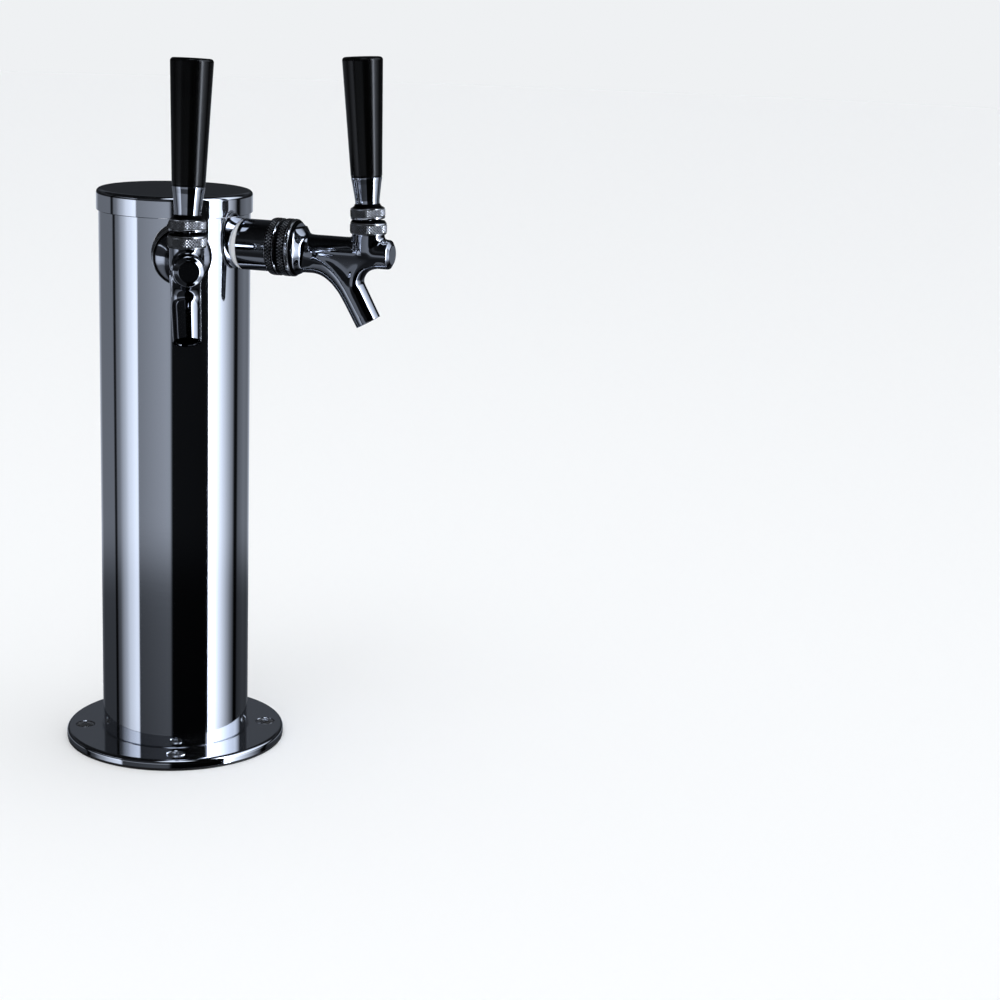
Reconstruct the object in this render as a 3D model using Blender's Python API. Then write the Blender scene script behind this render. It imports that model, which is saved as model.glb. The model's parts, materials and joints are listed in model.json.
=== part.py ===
"""Twin beer tap tower: a polished column on a round flange, with two rear-closing faucets.

Units are metres, +Z is up, and the origin is the bottom centre of the bounding box.
The column stands behind the origin, and the two taps point towards -Y, one to each side.
Along a tap, a reach is the distance out from the column's axis.
"""

import bmesh
import bpy
from math import atan2, cos, pi, radians, sin, sqrt
from mathutils import Matrix, Vector

MM = 0.001

# ---------------------------------------------------------------- driving dimensions

GAP = 0.3 * MM                       # clearance between pieces that touch

COLUMN_RADIUS = 38.1 * MM            # three-inch tube
COLUMN_WALL = 1.5 * MM
COLUMN_SEGMENTS = 48
TAP_SEGMENTS = 20                    # sides of the taps' turned pieces
BODY_SEGMENTS = 24                   # sides of the faucet body's outside
BORE_SEGMENTS = 18                   # sides of its bores
SCREW_SEGMENTS = 12

GASKET_THICKNESS = 0.8 * MM
FLANGE_RADIUS = 57.15 * MM           # four-and-a-half-inch flange
FLANGE_THICKNESS = 4.5 * MM
FLANGE_OPENING_RADIUS = 34.0 * MM
FLANGE_TOP = GASKET_THICKNESS + GAP + FLANGE_THICKNESS
SCREW_CIRCLE_RADIUS = 47.6 * MM
SCREW_COUNT = 4
SCREW_OFFSET = radians(3.0)          # from under the left tap to the first screw

CAP_TOP = FLANGE_TOP + 285.0 * MM
CAP_RADIUS = 39.2 * MM
CAP_SKIRT = 10.7 * MM
CAP_THICKNESS = 1.0 * MM
CAP_SEAL_THICKNESS = 1.0 * MM
COLUMN_TOP = CAP_TOP - CAP_THICKNESS - CAP_SEAL_THICKNESS - 2 * GAP

TAP_HEIGHT = FLANGE_TOP + 259.8 * MM  # height of the faucets' axis
TAP_HALF_ANGLE = radians(31.0)        # each tap turns this far from -Y

SHANK_RADIUS = 11.1 * MM
SHANK_BORE = 3.2 * MM
SHANK_START = 22.0 * MM
SHANK_HOLE_RADIUS = SHANK_RADIUS + GAP
SLEEVE_RADIUS = 12.75 * MM

NUT_START = 54.0 * MM
NUT_LENGTH = 13.5 * MM
NUT_END = NUT_START + NUT_LENGTH
NUT_RADIUS = 14.4 * MM
NUT_CHAMBER = 12.7 * MM

TUBE_RADIUS = 7.4 * MM               # faucet's horizontal shaft tube
TUBE_END = 115.0 * MM
SHAFT_BORE = 4.8 * MM
SEAT_REACH = 74.5 * MM               # valve seat inside the faucet
BODY_WIDTH = 14.0 * MM
PLUG_HEAD = TUBE_END + GAP           # where the front plug's head starts
PLUG_EDGE = PLUG_HEAD + 0.4 * MM     # and where its chamfer starts
PLUG_RADIUS = 7.1 * MM

SPOUT_ANGLE = radians(30.5)          # spout leans this far forward from straight down
SPOUT_LENGTH = 30.0 * MM
SPOUT_ROOT_RADIUS = 7.5 * MM
SPOUT_TIP_RADIUS = 6.6 * MM
SPOUT_BORE = 5.0 * MM

LEVER_REACH = 104.0 * MM             # lever's axis
BALL_HEIGHT = 11.0 * MM              # ball centre above the faucet's axis
BALL_RADIUS = 5.7 * MM
LEVER_LEAN = radians(3.3)            # closed handles lean back towards the column
SIDE_LEAN = {"left": radians(1.8), "right": 0.0}   # play in the joint lets one lean sideways
TIP_REACH = 12.0 * MM                # from the ball's centre down to the slot in the shaft
THREAD_RADIUS = 4.5 * MM
NECK_RADIUS = 8.0 * MM
NECK_TOP = 9.7 * MM
CAVITY_RADIUS = 6.7 * MM
KNOB_TOP = 84.2 * MM                 # above the ball's centre

# The box around everything ends at the front plugs and at the back of the flange.
FRONT_EDGE = PLUG_EDGE * cos(TAP_HALF_ANGLE) + PLUG_RADIUS * sin(TAP_HALF_ANGLE)
COLUMN_Y = (FRONT_EDGE - FLANGE_RADIUS) / 2

ALONG_TAP = (0.0, pi / 2, 0.0)       # turns a piece's own Z axis to the tap's outward X axis


# ---------------------------------------------------------------- materials

def make_material(name, color, roughness, metallic):
    """A plain Principled material."""
    material = bpy.data.materials.new(name)
    material.use_nodes = True
    shader = material.node_tree.nodes["Principled BSDF"]
    shader.inputs["Base Color"].default_value = (*color, 1.0)
    shader.inputs["Roughness"].default_value = roughness
    shader.inputs["Metallic"].default_value = metallic
    return material


def make_materials():
    """One material per kind of surface."""
    return {
        "polished_steel": make_material("polished_steel", (0.62, 0.64, 0.67), 0.06, 1.0),
        "chrome": make_material("chrome", (0.66, 0.68, 0.71), 0.05, 1.0),
        "brass": make_material("brass", (0.71, 0.54, 0.24), 0.25, 1.0),
        "black_plastic": make_material("black_plastic", (0.01, 0.01, 0.012), 0.12, 0.0),
        "nylon": make_material("nylon", (0.85, 0.84, 0.78), 0.45, 0.0),
        "rubber": make_material("rubber", (0.02, 0.02, 0.02), 0.6, 0.0),
    }


# ---------------------------------------------------------------- shape tools

def clear_scene():
    """Remove every object so that the script can run again."""
    for item in list(bpy.data.objects):
        bpy.data.objects.remove(item, do_unlink=True)


def finish_mesh(name, work):
    """Clean the working mesh, point its faces outwards and shade it smooth."""
    bmesh.ops.remove_doubles(work, verts=work.verts, dist=1e-7)
    bmesh.ops.recalc_face_normals(work, faces=work.faces)
    mesh = bpy.data.meshes.new(name)
    work.to_mesh(mesh)
    work.free()
    mesh.shade_smooth()
    mesh.set_sharp_from_angle(angle=radians(30))
    return mesh


def turned(name, outline, segments):
    """Spin a closed outline of (radius, height) points about the Z axis."""
    work = bmesh.new()
    points = [work.verts.new((radius, 0.0, height)) for radius, height in outline]
    loop = list(zip(points, points[1:] + points[:1]))
    on_axis = 1e-9
    edges = [work.edges.new(pair) for pair in loop
             if max(pair[0].co.x, pair[1].co.x) > on_axis]
    bmesh.ops.spin(work, geom=points + edges, cent=(0, 0, 0), axis=(0, 0, 1),
                   angle=2 * pi, steps=segments, use_merge=True)
    loose = [vert for vert in work.verts if not vert.link_faces]
    bmesh.ops.delete(work, geom=loose, context="VERTS")
    return finish_mesh(name, work)


def ring(name, inner, outer, start, end, segments):
    """A plain turned ring or bush."""
    outline = [(inner, start), (outer, start), (outer, end), (inner, end)]
    return turned(name, outline, segments)


def rod(name, radius, start, end, segments):
    """A plain solid cylinder."""
    return turned(name, [(0.0, start), (radius, start), (radius, end), (0.0, end)], segments)


def block(name, low, high):
    """A box between two corners."""
    size = Vector(high) - Vector(low)
    middle = (Vector(high) + Vector(low)) / 2
    work = bmesh.new()
    place = Matrix.Translation(middle) @ Matrix.Diagonal((*size, 1.0))
    bmesh.ops.create_cube(work, size=1.0, matrix=place)
    return finish_mesh(name, work)


def slab(name, outline, width, edge_radius):
    """A side outline of (x, z) points, given a width across Y and rounded long edges."""
    work = bmesh.new()
    points = [work.verts.new((x, -width / 2, z)) for x, z in outline]
    face = work.faces.new(points)
    moved = bmesh.ops.extrude_face_region(work, geom=[face])["geom"]
    far = [item for item in moved if isinstance(item, bmesh.types.BMVert)]
    bmesh.ops.translate(work, verts=far, vec=(0, width, 0))
    rims = [edge for edge in work.edges
            if abs(edge.verts[0].co.y - edge.verts[1].co.y) < 1e-9]
    bmesh.ops.bevel(work, geom=rims, offset=edge_radius, segments=2, profile=0.5,
                    affect="EDGES")
    return finish_mesh(name, work)


def swept_tube(name, stations, sides):
    """A tube along a route in the XZ plane, through (x, z, heading, outer, inner) stations.

    Heading 0 runs towards -X, and a heading of a quarter turn runs straight down.
    """
    work = bmesh.new()
    walls = []
    for column in (3, 4):
        for station in stations if column == 3 else reversed(stations):
            x, z, heading = station[:3]
            across = Vector((-sin(heading), 0.0, cos(heading)))
            loop = []
            for step in range(sides):
                turn = 2 * pi * step / sides
                offset = across * cos(turn) + Vector((0, 1, 0)) * sin(turn)
                loop.append(work.verts.new(Vector((x, 0, z)) + offset * station[column]))
            walls.append(loop)
    for here, there in zip(walls, walls[1:] + walls[:1]):
        for step in range(sides):
            after = (step + 1) % sides
            work.faces.new((here[step], here[after], there[after], there[step]))
    return finish_mesh(name, work)


def arc(center, radius, start, end, steps):
    """Points on a circle in a plane, from one angle to another."""
    turns = [start + (end - start) * step / steps for step in range(steps + 1)]
    return [(center[0] + radius * cos(turn), center[1] + radius * sin(turn)) for turn in turns]


# ---------------------------------------------------------------- scene tools

def empty(name, location, rotation=(0, 0, 0), parent=None):
    """A frame that pieces hang on."""
    frame = bpy.data.objects.new(name, None)
    frame.location = location
    frame.rotation_euler = rotation
    frame.parent = parent
    bpy.context.scene.collection.objects.link(frame)
    return frame


def piece(name, mesh, material, parent, location=(0, 0, 0), rotation=(0, 0, 0)):
    """One named solid of the tower."""
    item = bpy.data.objects.new(name, mesh)
    item.location = location
    item.rotation_euler = rotation
    item.parent = parent
    if material:
        mesh.materials.append(material)
    bpy.context.scene.collection.objects.link(item)
    return item


def tool(name, mesh, parent, location=(0, 0, 0), rotation=(0, 0, 0)):
    """A helper shape for a Boolean, which isn't part of the tower."""
    item = piece(name, mesh, None, parent, location, rotation)
    item.hide_render = True
    item.display_type = "WIRE"
    return item


def combine(item, helper, operation):
    """Join, cut or intersect a piece with a helper shape."""
    step = item.modifiers.new(operation.lower() + "_" + helper.name, "BOOLEAN")
    step.operation = operation
    step.object = helper
    step.solver = "EXACT"


# ---------------------------------------------------------------- column, base and cap

def make_base(root, look):
    """Flange and gasket, drilled for four countersunk screws."""
    flange_bottom = FLANGE_TOP - FLANGE_THICKNESS
    rim = 2.0 * MM
    corner = arc((FLANGE_RADIUS - rim, FLANGE_TOP - rim), rim, 0.0, pi / 2, 3)
    outline = [(FLANGE_OPENING_RADIUS, flange_bottom), (FLANGE_RADIUS, flange_bottom),
               *corner, (FLANGE_OPENING_RADIUS, FLANGE_TOP)]
    flange = piece("base_flange", turned("base_flange", outline, COLUMN_SEGMENTS),
                   look["polished_steel"], root)
    gasket_mesh = ring("base_gasket", FLANGE_OPENING_RADIUS, FLANGE_RADIUS - GAP,
                       0.0, GASKET_THICKNESS, COLUMN_SEGMENTS)
    gasket = piece("base_gasket", gasket_mesh, look["rubber"], root)

    head_radius = 4.6 * MM
    shank_radius = 2.1 * MM
    head_top = FLANGE_TOP - 0.1 * MM
    head_bottom = head_top - (head_radius - shank_radius)
    for number in range(SCREW_COUNT):
        # The first screw lies just past the left tap, and the rest follow at quarter turns.
        turn = -pi / 2 - TAP_HALF_ANGLE - SCREW_OFFSET + number * 2 * pi / SCREW_COUNT
        place = (SCREW_CIRCLE_RADIUS * cos(turn), SCREW_CIRCLE_RADIUS * sin(turn), 0.0)
        seat = 1.4 * GAP
        hole = [(0.0, -MM), (shank_radius + seat, -MM), (shank_radius + seat, head_bottom),
                (head_radius + seat, head_top), (head_radius + seat, FLANGE_TOP + MM),
                (0.0, FLANGE_TOP + MM)]
        drill = tool(f"screw_hole_{number + 1}", turned("screw_hole", hole, SCREW_SEGMENTS),
                     root, place)
        combine(flange, drill, "DIFFERENCE")
        combine(gasket, drill, "DIFFERENCE")

        tip = 0.1 * MM
        body = [(0.0, tip), (shank_radius, tip), (shank_radius, head_bottom),
                (head_radius, head_top), (0.0, head_top)]
        screw = piece(f"flange_screw_{number + 1}", turned("flange_screw", body, SCREW_SEGMENTS),
                      look["polished_steel"], root, place)
        for blade, (length, width) in enumerate(((5.0, 1.1), (1.1, 5.0))):
            low = (-length / 2 * MM, -width / 2 * MM, head_top - 1.3 * MM)
            high = (length / 2 * MM, width / 2 * MM, head_top + MM)
            cutter = tool(f"cross_{number + 1}_{blade + 1}", block("cross", low, high), root,
                          place, (0, 0, turn + pi / 4))
            combine(screw, cutter, "DIFFERENCE")


def make_column(root, look, taps):
    """Tube with two shank holes, closed at the top by a press-on cap over a seal."""
    inner = COLUMN_RADIUS - COLUMN_WALL
    tube_mesh = ring("column_tube", inner, COLUMN_RADIUS, FLANGE_TOP + GAP, COLUMN_TOP,
                     COLUMN_SEGMENTS)
    tube = piece("column_tube", tube_mesh, look["polished_steel"], root)
    for side, tap in taps.items():
        drill_mesh = rod("shank_hole", SHANK_HOLE_RADIUS, SHANK_START, NUT_START, TAP_SEGMENTS)
        combine(tube, tool(f"shank_hole_{side}", drill_mesh, tap, rotation=ALONG_TAP),
                "DIFFERENCE")

    seal_bottom = COLUMN_TOP + GAP
    seal_mesh = ring("cap_seal", inner - 2.0 * MM, inner + 0.5 * MM, seal_bottom,
                     seal_bottom + CAP_SEAL_THICKNESS, COLUMN_SEGMENTS)
    piece("cap_seal", seal_mesh, look["rubber"], root)

    skirt_bottom = CAP_TOP - CAP_SKIRT
    skirt_inner = COLUMN_RADIUS + GAP
    edge = 2.2 * MM
    corner = arc((CAP_RADIUS - edge, CAP_TOP - edge), edge, 0.0, pi / 2, 3)
    outline = [(0.0, CAP_TOP - CAP_THICKNESS), (skirt_inner, CAP_TOP - CAP_THICKNESS),
               (skirt_inner, skirt_bottom), (CAP_RADIUS, skirt_bottom), *corner,
               (0.0, CAP_TOP)]
    # The cap's inner corner is rounded too, so that its wall keeps one thickness.
    bend = edge - CAP_THICKNESS
    round_in = arc((skirt_inner - bend, CAP_TOP - CAP_THICKNESS - bend), bend, pi / 2, 0.0, 2)
    outline[1:2] = round_in
    piece("top_cap", turned("top_cap", outline, COLUMN_SEGMENTS), look["polished_steel"], root)


# ---------------------------------------------------------------- tap pieces

def make_shank(side, tap, look, column_frame):
    """Bored shank through the wall, clamped by a sleeve outside and a lock nut inside."""
    shank_end = 59.5 * MM
    collar_start = NUT_START + 2.3 * MM
    collar_radius = NUT_CHAMBER - GAP
    pocket = 4.6 * MM
    pocket_end = SHANK_START + 8.0 * MM
    outline = [(pocket, SHANK_START), (SHANK_RADIUS, SHANK_START),
               (SHANK_RADIUS, collar_start), (collar_radius, collar_start),
               (collar_radius, shank_end), (SHANK_BORE, shank_end),
               (SHANK_BORE, pocket_end), (pocket, pocket_end)]
    piece(f"shank_{side}", turned("shank", outline, TAP_SEGMENTS), look["brass"], tap,
          rotation=ALONG_TAP)

    sleeve = piece(f"shank_sleeve_{side}",
                   ring("shank_sleeve", SHANK_HOLE_RADIUS, SLEEVE_RADIUS, 30.0 * MM,
                        NUT_START - GAP, TAP_SEGMENTS),
                   look["chrome"], tap, rotation=ALONG_TAP)
    outside = tool(f"column_outside_{side}",
                   rod("column_outside", COLUMN_RADIUS + GAP, 0.0, CAP_TOP, COLUMN_SEGMENTS),
                   column_frame)
    combine(sleeve, outside, "DIFFERENCE")

    saddle_start = 31.0 * MM
    saddle = piece(f"saddle_washer_{side}",
                   ring("saddle_washer", SHANK_HOLE_RADIUS, 15.5 * MM, saddle_start,
                        45.0 * MM, TAP_SEGMENTS),
                   look["nylon"], tap, rotation=ALONG_TAP)
    inside = tool(f"column_inside_{side}",
                  rod("column_inside", COLUMN_RADIUS - COLUMN_WALL - GAP, 0.0, CAP_TOP,
                      COLUMN_SEGMENTS),
                  column_frame)
    combine(saddle, inside, "INTERSECT")

    across_flats = 27.0 * MM
    corner_radius = across_flats / 2 / cos(pi / 6)
    lock_end = saddle_start - GAP
    lock_nut = piece(f"lock_nut_{side}",
                     rod("lock_nut", corner_radius, lock_end - 5.0 * MM, lock_end, 6),
                     look["brass"], tap, rotation=ALONG_TAP)
    thread = tool(f"lock_nut_thread_{side}",
                  rod("lock_nut_thread", SHANK_HOLE_RADIUS, SHANK_START, 40.0 * MM,
                      TAP_SEGMENTS),
                  tap, rotation=ALONG_TAP)
    combine(lock_nut, thread, "DIFFERENCE")


def make_tail_elbow(side, tap, look):
    """Elbow soldered into the shank, with a barb for the beer line pointing down."""
    outer = 4.2 * MM
    bore = 2.4 * MM
    ridge = 4.9 * MM
    bend = 6.0 * MM
    leg_reach = 12.0 * MM
    start = SHANK_START + 7.7 * MM
    stations = [(start, 0.0, 0.0, outer, bore)]
    bend_steps = 4
    for step in range(bend_steps + 1):
        turn = pi / 2 * step / bend_steps
        stations.append((leg_reach + bend - bend * sin(turn), -bend + bend * cos(turn), turn,
                         outer, bore))
    barb_top = -17.0 * MM
    barb_pitch = 5.0 * MM
    for number in range(3):
        top = barb_top - number * barb_pitch
        stations.append((leg_reach, top, pi / 2, outer, bore))
        stations.append((leg_reach, top - 0.2 * MM, pi / 2, ridge, bore))
    stations.append((leg_reach, barb_top - 3 * barb_pitch, pi / 2, outer - 0.5 * MM, bore))
    piece(f"tail_elbow_{side}", swept_tube("tail_elbow", stations, 12), look["polished_steel"],
          tap)


def make_coupling(side, tap, look):
    """Coupling nut that pulls the faucet onto the shank, and the gasket between them."""
    chamfer = 0.6 * MM
    lip = NUT_START + 2.0 * MM
    groove = NUT_RADIUS - 0.9 * MM
    groove_start = NUT_START + 6.2 * MM
    groove_end = groove_start + 0.8 * MM
    outline = [(SHANK_HOLE_RADIUS, NUT_START), (NUT_RADIUS - chamfer, NUT_START),
               (NUT_RADIUS, NUT_START + chamfer), (NUT_RADIUS, groove_start),
               (groove, groove_start), (groove, groove_end), (NUT_RADIUS, groove_end),
               (NUT_RADIUS, NUT_END - chamfer), (NUT_RADIUS - chamfer, NUT_END),
               (NUT_CHAMBER, NUT_END), (NUT_CHAMBER, lip), (SHANK_HOLE_RADIUS, lip)]
    piece(f"coupling_nut_{side}", turned("coupling_nut", outline, TAP_SEGMENTS), look["chrome"],
          tap, rotation=ALONG_TAP)
    gasket = ring("coupling_gasket", 6.5 * MM, NUT_CHAMBER - GAP, 59.8 * MM, 61.3 * MM,
                  TAP_SEGMENTS)
    piece(f"coupling_gasket_{side}", gasket, look["rubber"], tap, rotation=ALONG_TAP)


def body_outline():
    """Side view of the web between the shaft tube and the spout, as (x, z) points."""
    underside = -12.0 * MM
    back = [(69.2 * MM, underside), (76.9 * MM, underside)]
    back += arc((77.5 * MM, -23.5 * MM), 11.5 * MM, radians(75), radians(38), 3)
    hollow = arc((109.6 * MM, -14.4 * MM), 7.0 * MM, radians(215), radians(100), 5)
    spout = [(93.0 * MM, -27.0 * MM), (98.5 * MM, -24.0 * MM)]
    return [(69.2 * MM, 0.0), *back, *spout, *hollow, (111.0 * MM, 0.0)]


def make_faucet_body(side, tap, look):
    """Cast body: threaded stub, shoulder, shaft tube, web, spout and lever neck."""
    stub_radius = NUT_CHAMBER - GAP
    stub_start = 61.6 * MM
    shoulder = NUT_END + GAP
    flare = arc((13.4 * MM, shoulder + 6.6 * MM), 6.0 * MM, radians(275), radians(180), 4)
    outline = [(0.0, stub_start), (stub_radius, stub_start), (stub_radius, shoulder),
               (NUT_RADIUS - 0.4 * MM, shoulder), *flare, (TUBE_RADIUS, TUBE_END),
               (0.0, TUBE_END)]
    body = piece(f"faucet_body_{side}", turned("faucet_body", outline, BODY_SEGMENTS),
                 look["chrome"], tap, rotation=ALONG_TAP)

    web = tool(f"web_{side}", slab("web", body_outline(), BODY_WIDTH, 2.6 * MM), tap)
    combine(body, web, "UNION")

    # The spout's frame sits at the tip, with its own Z axis pointing up along the spout.
    tip = (105.0 * MM, 0.0, -34.4 * MM)
    lean = (0.0, -SPOUT_ANGLE, 0.0)
    cone = [(0.0, 0.0), (SPOUT_TIP_RADIUS, 0.0), (SPOUT_ROOT_RADIUS, SPOUT_LENGTH),
            (0.0, SPOUT_LENGTH)]
    combine(body, tool(f"spout_{side}", turned("spout", cone, BODY_SEGMENTS), tap, tip, lean),
            "UNION")

    spigot_radius = 7.6 * MM
    neck = [(0.0, 0.0), (NECK_RADIUS, 0.0), (NECK_RADIUS, NECK_TOP), (spigot_radius, NECK_TOP),
            (spigot_radius, 13.0 * MM), (0.0, 13.0 * MM)]
    over_lever = (LEVER_REACH, 0.0, 0.0)
    combine(body, tool(f"neck_{side}", turned("neck", neck, BODY_SEGMENTS), tap, over_lever),
            "UNION")

    chamber = 6.1 * MM
    socket = 5.3 * MM
    socket_start = 112.0 * MM
    bores = [(0.0, stub_start - MM), (chamber, stub_start - MM), (chamber, SEAT_REACH),
             (SHAFT_BORE, SEAT_REACH), (SHAFT_BORE, socket_start), (socket, socket_start),
             (socket, TUBE_END + MM), (0.0, TUBE_END + MM)]
    shaft_bore = turned("shaft_bore", bores, BORE_SEGMENTS)
    combine(body, tool(f"shaft_bore_{side}", shaft_bore, tap, rotation=ALONG_TAP), "DIFFERENCE")
    outlet = rod("spout_bore", SPOUT_BORE, -5.0 * MM, SPOUT_LENGTH + 6.0 * MM,
                 BORE_SEGMENTS)
    combine(body, tool(f"spout_bore_{side}", outlet, tap, tip, lean), "DIFFERENCE")
    cavity = [(0.0, 0.0), (5.2 * MM, 0.0), (5.2 * MM, 5.5 * MM), (CAVITY_RADIUS, 5.5 * MM),
              (CAVITY_RADIUS, 14.0 * MM), (0.0, 14.0 * MM)]
    neck_cavity = turned("neck_cavity", cavity, BORE_SEGMENTS)
    combine(body, tool(f"neck_cavity_{side}", neck_cavity, tap, over_lever), "DIFFERENCE")


def make_front_plug(side, tap, look):
    """Chamfered plug that closes the front of the shaft tube."""
    stem = 5.0 * MM
    face = 117.0 * MM
    outline = [(0.0, 112.3 * MM), (stem, 112.3 * MM), (stem, PLUG_HEAD),
               (PLUG_RADIUS, PLUG_HEAD), (PLUG_RADIUS, PLUG_EDGE), (4.1 * MM, face),
               (0.0, face)]
    piece(f"front_plug_{side}", turned("front_plug", outline, TAP_SEGMENTS), look["chrome"], tap,
          rotation=ALONG_TAP)


def make_bonnet(side, tap, look):
    """Bonnet over the lever's ball, with the seat below the ball and the washer above it."""
    at_lever = (LEVER_REACH, 0.0, 0.0)
    # The top edge stays inside a sphere round the ball, so that the collar can swing over it.
    outline = [(7.9, 10.0), (8.9, 10.0), (9.2, 10.3), (9.2, 14.5), (8.2, 16.2), (6.2, 16.2),
               (5.6, 15.3), (7.0, 15.3), (7.0, 14.0), (7.9, 13.3)]
    outline = [(radius * MM, height * MM) for radius, height in outline]
    piece(f"bonnet_{side}", turned("bonnet", outline, TAP_SEGMENTS), look["chrome"], tap, at_lever)

    at_ball = (LEVER_REACH, 0.0, BALL_HEIGHT)
    washer = [(6.1, 1.0), (6.4, 1.0), (6.4, 4.0), (5.0, 4.0), (5.0, 3.6)]
    seat = [(4.6, -5.2), (6.4, -5.2), (6.4, -1.2), (6.1, -1.2), (4.6, -4.3)]
    for name, shape, stuff in (("friction_washer", washer, "nylon"),
                               ("ball_seat", seat, "rubber")):
        outline = [(radius * MM, height * MM) for radius, height in shape]
        piece(f"{name}_{side}", turned(name, outline, TAP_SEGMENTS), look[stuff], tap, at_ball)


def make_lever(side, hinge, look):
    """Lever with its ball on the hinge, and the collar, ferrule and knob that it carries."""
    neck = 2.4 * MM
    stem_top = 1.7 * MM
    stem_tip = 1.4 * MM
    thread_end = 44.0 * MM
    from_stem = -pi / 2 + atan2(stem_top, sqrt(BALL_RADIUS ** 2 - stem_top ** 2))
    to_neck = pi / 2 - atan2(neck, sqrt(BALL_RADIUS ** 2 - neck ** 2))
    ball = arc((0.0, 0.0), BALL_RADIUS, from_stem, to_neck, 8)
    outline = [(0.0, -TIP_REACH - 1.0 * MM), (0.9 * MM, -TIP_REACH - 0.8 * MM),
               (stem_tip, -TIP_REACH), *ball, (neck, 8.4 * MM),
               (THREAD_RADIUS, 9.2 * MM), (THREAD_RADIUS, thread_end), (0.0, thread_end)]
    piece(f"lever_{side}", turned("lever", outline, TAP_SEGMENTS), look["chrome"], hinge)

    hole = THREAD_RADIUS + GAP
    recess = 8.0 * MM
    recess_top = 8.9 * MM
    collar_top = 13.3 * MM
    collar = [(recess, 6.1 * MM), (8.4 * MM, 6.1 * MM), (8.7 * MM, 6.4 * MM),
              (8.7 * MM, 11.0 * MM), (7.9 * MM, 11.7 * MM), (6.2 * MM, collar_top),
              (hole, collar_top), (hole, recess_top), (7.2 * MM, recess_top),
              (7.7 * MM, 8.0 * MM)]
    piece(f"lever_collar_{side}", turned("lever_collar", collar, TAP_SEGMENTS), look["chrome"],
          hinge)

    ferrule_bottom = collar_top + GAP
    ferrule_top = 26.5 * MM
    ferrule = [(hole, ferrule_bottom), (5.9 * MM, ferrule_bottom), (6.1 * MM, 15.5 * MM),
               (7.5 * MM, 25.0 * MM), (7.6 * MM, ferrule_top), (hole, ferrule_top)]
    piece(f"handle_ferrule_{side}", turned("handle_ferrule", ferrule, TAP_SEGMENTS),
          look["chrome"], hinge)

    knob_bottom = ferrule_top + GAP
    dome = 1.6 * MM
    top_radius = 9.9 * MM
    crown = arc((top_radius - dome, KNOB_TOP - dome), dome, 0.0, pi / 2, 3)
    knob = [(0.0, thread_end + GAP), (hole, thread_end + GAP), (hole, knob_bottom),
            (7.4 * MM, knob_bottom), (7.7 * MM, knob_bottom + 0.6 * MM), *crown,
            (0.0, KNOB_TOP)]
    piece(f"handle_knob_{side}", turned("handle_knob", knob, TAP_SEGMENTS),
          look["black_plastic"], hinge)


def make_valve_shaft(side, slide, look):
    """Sliding shaft with a slot for the lever's tip, and the seal that closes the seat.

    The shaft's frame lies on the tap's axis under the ball, so its heights are measured
    from there, outwards.
    """
    rod_radius = 2.2 * MM
    guide = SHAFT_BORE - 0.4 * MM
    seat = SEAT_REACH - LEVER_REACH
    outline = [(0.0, seat - 5.5 * MM), (3.4 * MM, seat - 5.5 * MM),
               (3.4 * MM, seat - 3.5 * MM), (rod_radius, seat - 3.5 * MM),
               (rod_radius, seat), (4.2 * MM, seat), (4.2 * MM, seat + 1.5 * MM),
               (rod_radius, seat + 2.5 * MM), (rod_radius, -6.5 * MM), (guide, -6.5 * MM),
               (guide, 7.3 * MM), (0.0, 7.3 * MM)]
    shaft = piece(f"valve_shaft_{side}", turned("valve_shaft", outline, TAP_SEGMENTS),
                  look["polished_steel"], slide, rotation=ALONG_TAP)
    slot_middle = TIP_REACH * sin(LEVER_LEAN)
    flat = block("shaft_flat", (-6.6 * MM, -6.0 * MM, 0.5 * MM), (5.6 * MM, 6.0 * MM, 6.0 * MM))
    slot = block("shaft_slot", (slot_middle - 2.4 * MM, -2.2 * MM, -3.3 * MM),
                 (slot_middle + 2.4 * MM, 2.2 * MM, 6.0 * MM))
    combine(shaft, tool(f"shaft_flat_{side}", flat, slide), "DIFFERENCE")
    combine(shaft, tool(f"shaft_slot_{side}", slot, slide), "DIFFERENCE")

    seal = ring("shaft_seal", rod_radius + GAP, BALL_RADIUS, seat - 3.2 * MM, seat - GAP,
                TAP_SEGMENTS)
    piece(f"shaft_seal_{side}", seal, look["rubber"], slide, rotation=ALONG_TAP)


def make_tap(side, tap, look, column_frame):
    """Every piece of one tap, on frames for its fixed, tilting and sliding pieces."""
    make_shank(side, tap, look, column_frame)
    make_tail_elbow(side, tap, look)
    make_coupling(side, tap, look)
    make_faucet_body(side, tap, look)
    make_front_plug(side, tap, look)
    make_bonnet(side, tap, look)
    hinge = empty(f"lever_hinge_{side}", (LEVER_REACH, 0.0, BALL_HEIGHT),
                  (-SIDE_LEAN[side], -LEVER_LEAN, 0.0), tap)
    make_lever(side, hinge, look)
    slide = empty(f"shaft_slide_{side}", (LEVER_REACH, 0.0, 0.0), parent=tap)
    make_valve_shaft(side, slide, look)


# ---------------------------------------------------------------- the tower

def main():
    """Build the whole tower."""
    clear_scene()
    look = make_materials()
    root = empty("tower_axis", (0.0, COLUMN_Y, 0.0))
    taps = {}
    for side, turn in (("left", -TAP_HALF_ANGLE), ("right", TAP_HALF_ANGLE)):
        heading = turn - pi / 2
        taps[side] = empty(f"tap_axis_{side}", (0.0, 0.0, TAP_HEIGHT), (0, 0, heading), root)
    make_base(root, look)
    make_column(root, look, taps)
    for side, tap in taps.items():
        make_tap(side, tap, look, root)


main()
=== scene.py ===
# %% [markdown]
# # A twin beer tap tower
#
# This notebook dresses a working model of a draft beer tower. The model already has every
# part at its real size, with levers that tilt and shafts that slide, but its surfaces are
# plain facets. Each cell below takes one part, says what it is on the real tower, and makes
# the smooth, knurled or cast surface that a person would see on the bar.

# %% Load the working model
import bmesh
import bpy
import json
from math import atan2, cos, hypot, pi, radians, sin, sqrt
from mathutils import Matrix, Vector


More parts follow.
